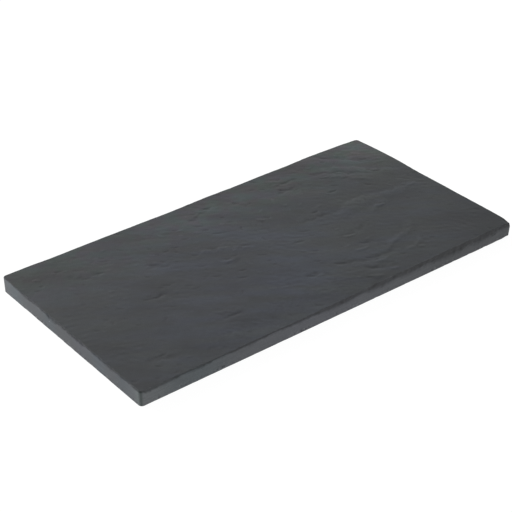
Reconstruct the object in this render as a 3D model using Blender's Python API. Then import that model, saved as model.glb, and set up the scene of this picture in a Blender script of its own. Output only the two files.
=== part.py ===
"""Slate slab, 300 x 158 x 11 mm: one piece of stone, in metres with +Z up.

The top is split along the stone's cleavage, so it has terraces, ledges and a shallow dish. The
four sides and the underside are sawn. The top edge is chipped away along all four sides, deepest
along the front long side, -Y. The origin is at the middle of the underside, and +X runs along
the length.
"""

import math

import bmesh
import bpy
import numpy as np

# Driving sizes
SLAB_LENGTH = 0.300
SLAB_WIDTH = 0.158
SLAB_THICKNESS = 0.0110
SPLIT_LEVEL = 0.0106  # usual height of the split face, just under its highest terraces

# Corners and edges
CORNER_RADIUS = 0.0026
CORNER_STEPS = 4
KNOCK_ALONG_SHORT = 0.0082  # knocked corner at +X -Y, measured along the short side
KNOCK_ALONG_LONG = 0.0015
ARRIS = 0.0003  # the narrow face that becomes the chipped top edge
FRONT_IN, FRONT_DOWN = 0.0005, 0.0016  # how far the chipped edge reaches in, and down the side
LEFT_IN, LEFT_DOWN = 0.0006, 0.0012
OTHER_IN, OTHER_DOWN = 0.00025, 0.0008  # the same on the right short side and the back
EDGE_SPREAD = 0.12  # extra reach over the top for each metre of extra depth
EDGE_BLEND = 0.0008  # how smoothly the chipped edge runs from one side to the next
LOWER_ARRIS = 0.0003
CELL = 0.0035  # spacing of the facets on the split face

# Broad rises and hollows of the split face: x, y, half length, half width, turn in degrees, rise
SWELLS = (
    (-0.138, 0.078, 0.026, 0.024, 0, 0.00045),
    (-0.020, 0.082, 0.040, 0.030, 0, -0.00038),
    (0.100, 0.074, 0.022, 0.020, -20, 0.00036),
    (0.153, 0.081, 0.026, 0.024, 0, -0.00095),
    (0.151, -0.081, 0.014, 0.008, 62, -0.00150),
    (0.146, 0.036, 0.030, 0.020, 70, 0.00036),
    (0.060, 0.009, 0.078, 0.056, -8, -0.00030),
    (-0.085, -0.042, 0.060, 0.034, 12, 0.00012),
    (-0.070, 0.040, 0.070, 0.026, -32, -0.00014),
    (0.120, -0.040, 0.034, 0.034, 40, 0.00014),
    (-0.020, -0.060, 0.040, 0.022, 20, -0.00012),
    (-0.035, -0.082, 0.130, 0.030, 0, -0.00070),
)

# Ledges of the split face: the height of its crest, how far the ground takes to fall away on the
# line's right and on its left, and the line's points. A negative height is a groove.
LEDGES = (
    (-0.00024, 0.0030, 0.0040, ((0.052, 0.064), (0.062, 0.059), (0.070, 0.060), (0.079, 0.057))),
    (-0.00022, 0.0030, 0.0045, ((0.050, 0.054), (0.060, 0.048), (0.069, 0.049), (0.077, 0.050))),
    (
        -0.00026, 0.0034, 0.0050,
        (
            (0.078, 0.060), (0.090, 0.055), (0.100, 0.050),
            (0.109, 0.043), (0.120, 0.036), (0.130, 0.028),
        ),
    ),
    (
        0.00022, 0.0060, 0.0032,
        (
            (0.092, 0.062), (0.105, 0.056), (0.116, 0.048),
            (0.125, 0.038), (0.136, 0.027), (0.149, 0.018),
        ),
    ),
    (-0.00026, 0.0030, 0.0060, ((0.108, 0.072), (0.118, 0.064), (0.127, 0.054), (0.134, 0.043))),
    (
        0.00020, 0.0028, 0.0050,
        ((0.086, 0.050), (0.096, 0.046), (0.106, 0.038), (0.113, 0.030), (0.119, 0.020)),
    ),
    (-0.00018, 0.0026, 0.0040, ((0.038, 0.009), (0.050, 0.009), (0.062, 0.008))),
    (
        0.00028, 0.0100, 0.0060,
        (
            (0.056, 0.003), (0.068, 0.003), (0.080, 0.007), (0.093, 0.008),
            (0.106, 0.004), (0.124, 0.002), (0.142, 0.003),
        ),
    ),
    (0.00020, 0.0026, 0.0060, ((0.084, -0.010), (0.096, -0.006), (0.108, -0.004))),
    (-0.00018, 0.0026, 0.0050, ((0.044, -0.020), (0.054, -0.022), (0.064, -0.023), (0.074, -0.018))),
    (-0.00018, 0.0024, 0.0040, ((0.048, -0.034), (0.057, -0.038), (0.066, -0.040))),
    (
        0.00026, 0.0030, 0.0060,
        ((0.056, -0.053), (0.070, -0.049), (0.084, -0.045), (0.093, -0.040), (0.103, -0.031)),
    ),
    (
        -0.00024, 0.0030, 0.0060,
        ((0.022, -0.046), (0.034, -0.050), (0.047, -0.055), (0.060, -0.056), (0.072, -0.054)),
    ),
    (-0.00026, 0.0030, 0.0050, ((0.034, -0.060), (0.046, -0.067), (0.058, -0.070))),
    (0.00018, 0.0026, 0.0050, ((0.070, -0.062), (0.082, -0.060), (0.094, -0.054))),
    (-0.00022, 0.0026, 0.0040, ((-0.002, -0.043), (0.009, -0.048), (0.018, -0.051))),
    (-0.00018, 0.0026, 0.0060, ((-0.122, 0.052), (-0.108, 0.044), (-0.094, 0.042))),
    (-0.00022, 0.0026, 0.0045, ((-0.075, 0.031), (-0.066, 0.026), (-0.058, 0.022))),
    (0.00020, 0.0050, 0.0028, ((-0.040, 0.024), (-0.026, 0.020), (-0.012, 0.012), (0.000, 0.004))),
    (-0.00026, 0.0030, 0.0045, ((-0.036, 0.004), (-0.026, 0.000), (-0.018, -0.003))),
    (-0.00018, 0.0026, 0.0050, ((-0.098, 0.000), (-0.086, -0.004), (-0.076, -0.003))),
    (-0.00018, 0.0030, 0.0040, ((-0.018, 0.056), (-0.008, 0.062), (0.004, 0.065))),
    (-0.00016, 0.0030, 0.0060, ((-0.134, -0.058), (-0.122, -0.060), (-0.108, -0.066))),
    (-0.00016, 0.0026, 0.0060, ((-0.072, -0.048), (-0.058, -0.050), (-0.046, -0.054))),
)
LEDGE_TAPER = 0.25  # share of a ledge's length over which each end dies out

# Slow undulation of the split face
WAVES = 14
WAVE_SEED = 7
WAVE_LONGEST = 0.090
WAVE_SHORTEST = 0.018
WAVE_HEIGHT = 0.000035

# Spalls along the top edge: middle along the side, half length, extra depth down the side
FRONT_SPALLS = (
    (-0.136, 0.012, 0.0010),
    (-0.108, 0.010, 0.0008),
    (-0.074, 0.014, 0.0007),
    (-0.036, 0.011, 0.0009),
    (0.004, 0.018, 0.0024),
    (0.034, 0.016, 0.0031),
    (0.060, 0.016, 0.0033),
    (0.094, 0.024, 0.0050),
    (0.124, 0.015, 0.0041),
    (0.142, 0.010, 0.0020),
)
LEFT_SPALLS = (
    (0.050, 0.008, 0.0006),
    (0.017, 0.009, 0.0010),
    (-0.012, 0.008, 0.0009),
    (-0.045, 0.009, 0.0008),
)
RIGHT_SPALLS = (
    (0.060, 0.014, 0.0008),
    (0.016, 0.008, 0.0012),
    (-0.030, 0.010, 0.0006),
    (-0.066, 0.010, 0.0010),
)
BACK_SPALLS = (
    (-0.112, 0.010, 0.0008),
    (-0.058, 0.012, 0.0010),
    (-0.021, 0.009, 0.0007),
    (0.032, 0.014, 0.0011),
    (0.084, 0.010, 0.0008),
    (0.128, 0.012, 0.0013),
)

# The three rings of the chipped edge, from the top down: how far in and down the rounded edge
# leaves each, then its share of the chipped edge's reach over the top and of its depth
ROUND_SHARE = 1.0 - math.sqrt(0.5)
EDGE_RINGS = (
    (ARRIS, 0.0, 1.0, 0.0),
    (ARRIS * ROUND_SHARE, ARRIS * ROUND_SHARE, 0.55, 0.50),
    (0.0, ARRIS, 0.0, 1.0),
)

# Finish
SLATE_COLOUR = (0.058, 0.061, 0.066, 1.0)
SLATE_ROUGHNESS = 0.55
SMOOTH_BELOW = math.radians(30)

SAME_PLACE = 1e-6  # points nearer than this along an axis lie on one plane
FLAT_NORMAL = 0.999  # faces of the block's flat top point up at least this much


def clear_scene():
    for obj in list(bpy.data.objects):
        bpy.data.objects.remove(obj, do_unlink=True)


def ease(share):
    """0 to 1 along a smooth step."""
    share = np.clip(share, 0.0, 1.0)
    return share * share * (3.0 - 2.0 * share)


def swell(x, y, place):
    """Height of one broad rise, which dies out at the rim of its ellipse."""
    middle_x, middle_y, half_length, half_width, turn, rise = place
    cos, sin = math.cos(math.radians(turn)), math.sin(math.radians(turn))
    along = ((x - middle_x) * cos + (y - middle_y) * sin) / half_length
    across = ((y - middle_y) * cos - (x - middle_x) * sin) / half_width
    return rise * np.clip(1.0 - along**2 - across**2, 0.0, None) ** 2


def ledge(x, y, line, crest, right, left):
    """Height of one ledge, by the distance from its line and by how far along the line it is."""
    line = np.array(line)
    runs = np.hypot(*np.diff(line, axis=0).T)
    starts = np.concatenate([[0.0], np.cumsum(runs)])
    nearest = np.full(x.shape, np.inf)
    side = np.zeros(x.shape)
    share = np.zeros(x.shape)
    for start, end, run, before in zip(line[:-1], line[1:], runs, starts):
        step_x, step_y = (end - start) / run
        reach = np.clip((x - start[0]) * step_x + (y - start[1]) * step_y, 0.0, run)
        off_x = x - start[0] - reach * step_x
        off_y = y - start[1] - reach * step_y
        distance = np.hypot(off_x, off_y)
        nearer = distance < nearest
        nearest = np.where(nearer, distance, nearest)
        side = np.where(nearer, step_x * off_y - step_y * off_x, side)
        share = np.where(nearer, (before + reach) / starts[-1], share)
    ends = ease(share / LEDGE_TAPER) * ease((1.0 - share) / LEDGE_TAPER)
    return crest * ends * (1.0 - ease(nearest / np.where(side > 0.0, left, right)))


def waviness(x, y):
    """Slow undulation: plane waves with seeded directions, lengths and offsets."""
    draw = np.random.default_rng(WAVE_SEED)
    total = np.zeros(x.shape)
    for _ in range(WAVES):
        direction, offset = draw.uniform(0.0, 2.0 * math.pi, 2)
        wave = draw.uniform(WAVE_SHORTEST, WAVE_LONGEST)
        phase = 2.0 * math.pi * (x * math.cos(direction) + y * math.sin(direction)) / wave
        total += WAVE_HEIGHT * (wave / WAVE_LONGEST) ** 0.5 * np.cos(phase + offset)
    return total


def split_height(x, y):
    """Height of the split face, no higher than the slab's thickness."""
    height = SPLIT_LEVEL + waviness(x, y)
    for place in SWELLS:
        height += swell(x, y, place)
    for crest, right, left, line in LEDGES:
        height += ledge(x, y, line, crest, right, left)
    return np.minimum(height, SLAB_THICKNESS)


def spall_depth(along, spalls):
    """Extra depth of the chipped edge at a place along one side."""
    depth = np.zeros(along.shape)
    for middle, half, extra in spalls:
        share = np.clip(1.0 - ((along - middle) / half) ** 2, 0.0, None)
        depth = np.maximum(depth, extra * share**0.7)
    return depth


def chipped_edge(x, y):
    """How far down the sides, and how far in over the top, the chipped edge reaches."""
    sides = (
        (SLAB_WIDTH / 2 + y, FRONT_IN, FRONT_DOWN, spall_depth(x, FRONT_SPALLS)),
        (SLAB_WIDTH / 2 - y, OTHER_IN, OTHER_DOWN, spall_depth(x, BACK_SPALLS)),
        (SLAB_LENGTH / 2 + x, LEFT_IN, LEFT_DOWN, spall_depth(y, LEFT_SPALLS)),
        (SLAB_LENGTH / 2 - x, OTHER_IN, OTHER_DOWN, spall_depth(y, RIGHT_SPALLS)),
    )
    nearness = np.array([(np.abs(gap) + EDGE_BLEND) ** -3.0 for gap, _, _, _ in sides])
    nearness /= nearness.sum(axis=0)
    depths = np.array([down + extra for _, _, down, extra in sides])
    reaches = np.array([inward + EDGE_SPREAD * extra for _, inward, _, extra in sides])
    return (nearness * depths).sum(axis=0), (nearness * reaches).sum(axis=0)


def outward(x, y):
    """Unit direction in plan from the nearest point of the middle that the round corners leave."""
    off_x = x - np.clip(x, CORNER_RADIUS - SLAB_LENGTH / 2, SLAB_LENGTH / 2 - CORNER_RADIUS)
    off_y = y - np.clip(y, CORNER_RADIUS - SLAB_WIDTH / 2, SLAB_WIDTH / 2 - CORNER_RADIUS)
    reach = np.hypot(off_x, off_y)
    return off_x / reach, off_y / reach


def sawn_block(bm):
    """The blank: a block with rounded upright corners, one of them knocked off."""
    bmesh.ops.create_cube(bm, size=1.0)
    bmesh.ops.scale(bm, vec=(SLAB_LENGTH, SLAB_WIDTH, SLAB_THICKNESS), verts=bm.verts)
    bmesh.ops.translate(bm, vec=(0.0, 0.0, SLAB_THICKNESS / 2), verts=bm.verts)
    upright = [edge for edge in bm.edges if abs(edge.verts[0].co.z - edge.verts[1].co.z) > SAME_PLACE]
    bmesh.ops.bevel(
        bm,
        geom=upright,
        offset=CORNER_RADIUS,
        segments=CORNER_STEPS,
        profile=0.5,
        affect="EDGES",
        material=-1,
    )
    cut = bmesh.ops.bisect_plane(
        bm,
        geom=bm.verts[:] + bm.edges[:] + bm.faces[:],
        dist=SAME_PLACE,
        plane_co=(SLAB_LENGTH / 2, KNOCK_ALONG_SHORT - SLAB_WIDTH / 2, 0.0),
        plane_no=(KNOCK_ALONG_SHORT, -KNOCK_ALONG_LONG, 0.0),
        clear_outer=True,
    )
    cut_edges = [item for item in cut["geom_cut"] if isinstance(item, bmesh.types.BMEdge)]
    bmesh.ops.holes_fill(bm, edges=cut_edges)


def rim_edges(bm, height):
    """The edges all round the slab at one height."""
    return [edge for edge in bm.edges if all(abs(vert.co.z - height) < SAME_PLACE for vert in edge.verts)]


def break_edges(bm):
    """The narrow faces along the top edge, two deep, and along the bottom edge."""
    for height, offset, segments in ((SLAB_THICKNESS, ARRIS, 2), (0.0, LOWER_ARRIS, 1)):
        bmesh.ops.bevel(
            bm,
            geom=rim_edges(bm, height),
            offset=offset,
            segments=segments,
            profile=0.5,
            affect="EDGES",
            material=-1,
        )


def cut_into_cells(bm):
    """Cuts the block along evenly spaced planes, which end at the rounded corners."""
    for axis, size in enumerate((SLAB_LENGTH, SLAB_WIDTH)):
        reach = size / 2 - CORNER_RADIUS
        normal = [float(axis == 0), float(axis == 1), 0.0]
        for place in np.linspace(-reach, reach, round(2 * reach / CELL) + 1):
            bmesh.ops.bisect_plane(
                bm,
                geom=bm.verts[:] + bm.edges[:] + bm.faces[:],
                dist=SAME_PLACE,
                plane_co=[place * part for part in normal],
                plane_no=normal,
            )
    underside = [face for face in bm.faces if all(abs(vert.co.z) < SAME_PLACE for vert in face.verts)]
    bmesh.ops.dissolve_faces(bm, faces=underside)


def leans(vert):
    """Whether a point touches a side or a narrow face, and so isn't inside the flat top."""
    return any(face.normal.z < FLAT_NORMAL for face in vert.link_faces)


def plan(verts):
    """The x and y of some points, as arrays."""
    return np.array([vert.co.xy for vert in verts]).T


def put(verts, x, y, z):
    for vert, place in zip(verts, zip(x, y, z)):
        vert.co = place


def split_the_top(bm):
    """Gives the top its terraces and ledges, and the chipped edge round it a hollow section."""
    inside = [vert for vert in bm.verts if not leans(vert) and vert.co.z > SLAB_THICKNESS / 2]
    rings = [
        [vert for vert in bm.verts if leans(vert) and abs(vert.co.z - SLAB_THICKNESS + down) < SAME_PLACE]
        for _, down, _, _ in EDGE_RINGS
    ]
    x, y = plan(inside)
    put(inside, x, y, split_height(x, y))
    for ring, (inset, _, share_in, share_down) in zip(rings, EDGE_RINGS):
        x, y = plan(ring)
        depth, reach = chipped_edge(x, y)
        inward = share_in * reach - inset
        away_x, away_y = outward(x, y)
        x, y = x - away_x * inward, y - away_y * inward
        put(ring, x, y, split_height(x, y) - share_down * depth)


def slate_material():
    material = bpy.data.materials.new("slate")
    material.use_nodes = True
    shader = material.node_tree.nodes["Principled BSDF"]
    shader.inputs["Base Color"].default_value = SLATE_COLOUR
    shader.inputs["Roughness"].default_value = SLATE_ROUGHNESS
    shader.inputs["Metallic"].default_value = 0.0
    return material


def slate_slab():
    """The whole stone."""
    bm = bmesh.new()
    sawn_block(bm)
    break_edges(bm)
    cut_into_cells(bm)
    bm.normal_update()
    split_the_top(bm)
    bmesh.ops.recalc_face_normals(bm, faces=bm.faces)
    mesh = bpy.data.meshes.new("slate_slab")
    bm.to_mesh(mesh)
    bm.free()
    mesh.materials.append(slate_material())
    mesh.shade_smooth()
    mesh.set_sharp_from_angle(angle=SMOOTH_BELOW)
    slab = bpy.data.objects.new("slate_slab", mesh)
    bpy.context.scene.collection.objects.link(slab)
    return slab


def main():
    clear_scene()
    slate_slab()


if __name__ == "__main__":
    main()
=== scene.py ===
"""Slate slab: one stone with a split top, a chipped top edge and sawn sides, on a pale floor.

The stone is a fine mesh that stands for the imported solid: the same terraces and ledges, with the
small scars, the broken section of the top edge and the grain that are too fine for the solid.
"""

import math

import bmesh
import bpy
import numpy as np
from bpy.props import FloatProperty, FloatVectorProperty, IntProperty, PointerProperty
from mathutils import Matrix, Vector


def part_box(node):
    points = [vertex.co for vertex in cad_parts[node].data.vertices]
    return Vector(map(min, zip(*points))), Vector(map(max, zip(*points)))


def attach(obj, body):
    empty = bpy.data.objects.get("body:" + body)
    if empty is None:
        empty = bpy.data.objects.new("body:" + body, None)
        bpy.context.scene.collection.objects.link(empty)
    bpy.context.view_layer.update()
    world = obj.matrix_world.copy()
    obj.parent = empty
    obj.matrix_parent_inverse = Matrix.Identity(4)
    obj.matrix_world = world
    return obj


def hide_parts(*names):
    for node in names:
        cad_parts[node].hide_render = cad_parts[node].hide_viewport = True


bl_info = {
    "name": "Slate Slab",
    "version": (1, 0, 0),
    "blender": (4, 5, 0),
    "location": "View3D > Sidebar > Slate",
    "description": "Builds a slate slab with a split face, a chipped edge and sawn sides",
    "category": "Add Mesh",
}

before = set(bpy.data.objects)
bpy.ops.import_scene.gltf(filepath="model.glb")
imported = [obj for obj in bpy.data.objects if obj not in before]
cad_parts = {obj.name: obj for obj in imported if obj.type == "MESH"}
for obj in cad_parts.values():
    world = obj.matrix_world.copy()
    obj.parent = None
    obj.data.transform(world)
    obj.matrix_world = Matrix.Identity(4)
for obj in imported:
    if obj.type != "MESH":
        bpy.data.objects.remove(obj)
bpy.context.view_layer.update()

# The slab's own sizes, in metres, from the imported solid
LOW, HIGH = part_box("slate_slab")
HALF_LENGTH = (HIGH.x - LOW.x) / 2
HALF_WIDTH = (HIGH.y - LOW.y) / 2
THICKNESS = HIGH.z - LOW.z
SPLIT_BELOW_TOP = 0.0004  # the split face's usual level, under its highest terraces

# Broad rises and hollows of the split face: x, y, half length, half width, turn in degrees, rise
SWELLS = (
    (-0.138, 0.078, 0.026, 0.024, 0, 0.00045),
    (-0.020, 0.082, 0.040, 0.030, 0, -0.00038),
    (0.100, 0.074, 0.022, 0.020, -20, 0.00036),
    (0.153, 0.081, 0.026, 0.024, 0, -0.00095),
    (0.151, -0.081, 0.014, 0.008, 62, -0.00150),
    (0.146, 0.036, 0.030, 0.020, 70, 0.00036),
    (0.060, 0.009, 0.078, 0.056, -8, -0.00030),
    (-0.085, -0.042, 0.060, 0.034, 12, 0.00012),
    (-0.070, 0.040, 0.070, 0.026, -32, -0.00014),
    (0.120, -0.040, 0.034, 0.034, 40, 0.00014),
    (-0.020, -0.060, 0.040, 0.022, 20, -0.00012),
    (-0.035, -0.082, 0.130, 0.030, 0, -0.00070),
)

# Ledges of the split face: crest height, negative in a groove, reach right and left, and line
LEDGES = (
    (-0.00024, 0.0030, 0.0040, ((0.052, 0.064), (0.062, 0.059), (0.070, 0.060), (0.079, 0.057))),
    (-0.00022, 0.0030, 0.0045, ((0.050, 0.054), (0.060, 0.048), (0.069, 0.049), (0.077, 0.050))),
    (
        -0.00026, 0.0034, 0.0050,
        (
            (0.078, 0.060), (0.090, 0.055), (0.100, 0.050),
            (0.109, 0.043), (0.120, 0.036), (0.130, 0.028),
        ),
    ),
    (
        0.00022, 0.0060, 0.0032,
        (
            (0.092, 0.062), (0.105, 0.056), (0.116, 0.048),
            (0.125, 0.038), (0.136, 0.027), (0.149, 0.018),
        ),
    ),
    (-0.00026, 0.0030, 0.0060, ((0.108, 0.072), (0.118, 0.064), (0.127, 0.054), (0.134, 0.043))),
    (
        0.00020, 0.0028, 0.0050,
        ((0.086, 0.050), (0.096, 0.046), (0.106, 0.038), (0.113, 0.030), (0.119, 0.020)),
    ),
    (-0.00018, 0.0026, 0.0040, ((0.038, 0.009), (0.050, 0.009), (0.062, 0.008))),
    (
        0.00028, 0.0100, 0.0060,
        (
            (0.056, 0.003), (0.068, 0.003), (0.080, 0.007), (0.093, 0.008),
            (0.106, 0.004), (0.124, 0.002), (0.142, 0.003),
        ),
    ),
    (0.00020, 0.0026, 0.0060, ((0.084, -0.010), (0.096, -0.006), (0.108, -0.004))),
    (
        -0.00018, 0.0026, 0.0050,
        ((0.044, -0.020), (0.054, -0.022), (0.064, -0.023), (0.074, -0.018)),
    ),
    (-0.00018, 0.0024, 0.0040, ((0.048, -0.034), (0.057, -0.038), (0.066, -0.040))),
    (
        0.00021, 0.0030, 0.0060,
        ((0.056, -0.053), (0.070, -0.049), (0.084, -0.045), (0.093, -0.040), (0.103, -0.031)),
    ),
    (
        -0.00024, 0.0030, 0.0060,
        ((0.022, -0.046), (0.034, -0.050), (0.047, -0.055), (0.060, -0.056), (0.072, -0.054)),
    ),
    (-0.00026, 0.0030, 0.0050, ((0.034, -0.060), (0.046, -0.067), (0.058, -0.070))),
    (0.00018, 0.0026, 0.0050, ((0.070, -0.062), (0.082, -0.060), (0.094, -0.054))),
    (-0.00022, 0.0026, 0.0040, ((-0.002, -0.043), (0.009, -0.048), (0.018, -0.051))),
    (-0.00018, 0.0026, 0.0060, ((-0.122, 0.052), (-0.108, 0.044), (-0.094, 0.042))),
    (-0.00022, 0.0026, 0.0045, ((-0.075, 0.031), (-0.066, 0.026), (-0.058, 0.022))),
    (0.00020, 0.0050, 0.0028, ((-0.040, 0.024), (-0.026, 0.020), (-0.012, 0.012), (0.000, 0.004))),
    (-0.00026, 0.0030, 0.0045, ((-0.036, 0.004), (-0.026, 0.000), (-0.018, -0.003))),
    (-0.00018, 0.0026, 0.0050, ((-0.098, 0.000), (-0.086, -0.004), (-0.076, -0.003))),
    (-0.00018, 0.0030, 0.0040, ((-0.018, 0.056), (-0.008, 0.062), (0.004, 0.065))),
    (-0.00016, 0.0030, 0.0060, ((-0.134, -0.058), (-0.122, -0.060), (-0.108, -0.066))),
    (-0.00016, 0.0026, 0.0060, ((-0.072, -0.048), (-0.058, -0.050), (-0.046, -0.054))),
)
LEDGE_TAPER = 0.25  # share of a ledge's length over which each end dies out
RAGGED_REACH = 0.005  # a ledge that falls away over more than this is less ragged

# Flake scars that show from a step away: x, y, length, width, turn in degrees, depth
SCARS = (
    (-0.0895, 0.0530, 0.009, 0.0028, -30, 0.00016),
    (-0.1085, 0.0545, 0.008, 0.0026, -40, 0.00014),
    (-0.1090, 0.0425, 0.007, 0.0026, -35, 0.00014),
    (-0.0985, 0.0425, 0.008, 0.0024, -15, 0.00012),
    (-0.1408, 0.0495, 0.006, 0.0026, -30, 0.00012),
    (-0.0680, 0.0295, 0.009, 0.0030, -40, 0.00018),
    (-0.0580, 0.0470, 0.005, 0.0022, -40, 0.00014),
    (-0.0390, 0.0215, 0.006, 0.0026, -35, 0.00016),
    (-0.0260, 0.0210, 0.008, 0.0026, -25, 0.00014),
    (-0.0270, 0.0020, 0.012, 0.0045, -20, -0.00026),
    (-0.0260, -0.0130, 0.007, 0.0026, -20, 0.00016),
    (-0.0310, -0.0200, 0.009, 0.0026, -25, 0.00018),
    (-0.0060, 0.0100, 0.008, 0.0022, -30, 0.00014),
    (-0.0100, 0.0340, 0.012, 0.0018, -28, 0.00022),
    (-0.0160, 0.0500, 0.010, 0.0028, -38, 0.00016),
    (0.0020, 0.0650, 0.007, 0.0028, -40, 0.00024),
    (-0.0090, 0.0650, 0.005, 0.0024, -20, 0.00012),
    (-0.0050, -0.0060, 0.009, 0.0020, -35, 0.00016),
    (-0.0940, -0.0015, 0.006, 0.0022, -45, 0.00014),
    (-0.0870, -0.0040, 0.007, 0.0024, -25, 0.00014),
    (-0.0785, 0.0035, 0.005, 0.0020, -35, 0.00010),
    (-0.0845, -0.0190, 0.008, 0.0020, -35, 0.00014),
    (-0.1355, -0.0115, 0.005, 0.0020, -30, 0.00012),
    (-0.1235, -0.0105, 0.005, 0.0020, 60, 0.00012),
    (-0.1130, -0.0220, 0.005, 0.0018, -35, 0.00010),
    (-0.0955, -0.0270, 0.005, 0.0018, 30, 0.00010),
    (-0.0610, -0.0110, 0.008, 0.0020, -5, 0.00012),
    (-0.0435, -0.0080, 0.008, 0.0024, -35, 0.00014),
    (-0.0600, -0.0500, 0.012, 0.0026, -10, 0.00016),
    (-0.0415, -0.0330, 0.007, 0.0014, 50, 0.00014),
    (-0.1200, -0.0570, 0.010, 0.0024, -5, 0.00014),
    (-0.1270, -0.0650, 0.006, 0.0024, -40, 0.00014),
    (0.0040, -0.0465, 0.010, 0.0028, -25, 0.00024),
    (0.0215, 0.0590, 0.006, 0.0034, -60, 0.00022),
    (0.0500, 0.0745, 0.009, 0.0028, -45, 0.00022),
    (0.0480, 0.0625, 0.006, 0.0024, -40, 0.00014),
    (0.0590, 0.0520, 0.009, 0.0030, -38, 0.00026),
    (0.0920, 0.0470, 0.010, 0.0026, -25, 0.00018),
    (0.0840, 0.0290, 0.010, 0.0028, -8, 0.00024),
    (0.0570, 0.0150, 0.007, 0.0030, 0, 0.00024),
    (0.0360, 0.0000, 0.011, 0.0026, -25, 0.00016),
    (0.0240, -0.0085, 0.009, 0.0026, -22, 0.00024),
    (0.1010, -0.0050, 0.009, 0.0028, 5, 0.00016),
    (0.0770, -0.0170, 0.005, 0.0020, -20, 0.00012),
    (0.0430, -0.0320, 0.010, 0.0030, -30, 0.00010),
    (0.0250, -0.0245, 0.006, 0.0024, -30, 0.00014),
    (0.0565, -0.0370, 0.008, 0.0028, -35, 0.00022),
    (0.0275, -0.0465, 0.010, 0.0030, -35, 0.00026),
    (0.0490, -0.0540, 0.012, 0.0034, -20, 0.00020),
    (0.0410, -0.0640, 0.011, 0.0030, -42, 0.00024),
    (0.0670, -0.0630, 0.005, 0.0022, -40, 0.00014),
    (0.1270, 0.0330, 0.010, 0.0026, -45, 0.00022),
    (0.1070, 0.0480, 0.009, 0.0024, -35, 0.00020),
    (-0.0600, 0.0285, 0.005, 0.0026, -50, 0.00016),
    (0.0180, -0.0350, 0.006, 0.0026, -30, 0.00014),
    (-0.0640, -0.0700, 0.004, 0.0026, -20, 0.00012),
    (-0.0740, -0.0630, 0.006, 0.0034, -40, 0.00012),
    (-0.0150, 0.0430, 0.006, 0.0026, -30, 0.00016),
    (-0.0210, 0.0440, 0.007, 0.0024, -40, -0.00014),
    (-0.0320, 0.0420, 0.006, 0.0024, -20, 0.00012),
    (0.0070, 0.0630, 0.006, 0.0026, -35, -0.00016),
    (-0.0020, 0.0420, 0.005, 0.0026, -35, -0.00014),
    (0.0040, 0.0410, 0.005, 0.0022, -35, 0.00012),
    (0.0470, 0.0350, 0.004, 0.0034, 0, -0.00012),
    (0.0220, 0.0300, 0.008, 0.0034, -45, -0.00018),
    (0.0270, 0.0300, 0.006, 0.0026, -45, 0.00012),
    (0.1100, 0.0700, 0.008, 0.0034, -35, 0.00022),
    (0.1310, 0.0520, 0.009, 0.0034, -50, 0.00022),
    (0.1330, 0.0610, 0.009, 0.0040, -50, -0.00020),
    (0.0980, -0.0060, 0.010, 0.0040, 0, -0.00022),
    (0.1340, 0.0020, 0.010, 0.0034, 0, -0.00018),
    (0.0560, -0.0240, 0.011, 0.0034, -10, -0.00020),
    (0.0500, -0.0420, 0.012, 0.0040, -10, -0.00022),
    (0.0520, -0.0600, 0.012, 0.0040, -5, -0.00022),
    (0.0360, -0.0720, 0.012, 0.0040, -35, -0.00024),
    (0.0080, -0.0480, 0.010, 0.0034, -35, -0.00020),
)

SCAR_WIDER, SCAR_DEEPER = 1.25, 1.16  # how much wider and deeper than listed the scars are cut
SCAR_STEP, SCAR_RAMP = 0.52, 0.45  # shares of a scar's width that its upper and lower sides take

# Small scars strewn over the split face
STREWN_SEED = 11
STREWN_LENGTHS = (0.0030, 0.0080)
STREWN_WIDTHS = (0.0022, 0.0038)
STREWN_TURN = 18.0  # degrees, how far they stray from the grain
STREWN_LEAST, STREWN_EXTRA = 0.00005, 0.00016  # the least depth, and the most that is added to it
STREWN_CALM = 0.7  # how much shallower they are in the middle of the smooth parts
STREWN_WAYS = (1.0, 1.0, -1.0)  # two are sunk for each one that is raised

# Stepped ground of the split face
TERRACE_SHARE = 0.25  # how much of the ground is stepped
TERRACE_RISER = 0.3  # share of a step's run that its riser takes

# Short ripples of the split face
RIPPLE_SEED, RIPPLE_COUNT = 28, 36
RIPPLE_TURN = 26.0  # degrees, how far they stray from straight across the grain
RIPPLE_WAVES = (0.0026, 0.0060)
RIPPLE_HEIGHT = 0.0000048
RIPPLE_USUAL = 0.6  # their usual strength outside the smooth parts
RAGGED_USUAL = 0.65  # usual height of a ragged ledge, as a share of the listed one
STRONGEST = 1.5  # most that ripples and ragged ledges are strengthened

# Undulations: seed, number of waves, shortest and longest wave, and height or strength
WARPS_X = ((21, 10, 0.006, 0.030, 0.0003), (26, 12, 0.003, 0.007, 0.00013))
WARPS_Y = ((22, 10, 0.006, 0.030, 0.0003), (27, 12, 0.003, 0.007, 0.00013))
BROAD_WAVES = (7, 14, 0.018, 0.090, 0.000035)
FINE_WAVES = (24, 40, 0.0022, 0.0075, 0.0000016)
TERRACE_WAVES = (23, 24, 0.005, 0.024, 0.11)
RAGGED_WAVES = (25, 16, 0.004, 0.012, 0.19)
PATCH_WAVES = (29, 10, 0.030, 0.080, 0.35)
HOLLOW_WAVES = (41, 12, 0.003, 0.016, 0.12)
ROUGH_SEED, ROUGH_WAVES = 42, (20, 0.0014, 0.006, 0.05)

# Pale crests, partly wear and partly painted light, and dark hollows, painted shade: rounds of
# levelling, height that counts as full, and weight
WEAR_AND_SHADE = ((4, 0.00006, 0.4), (60, 0.00010, 1.2))
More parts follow.
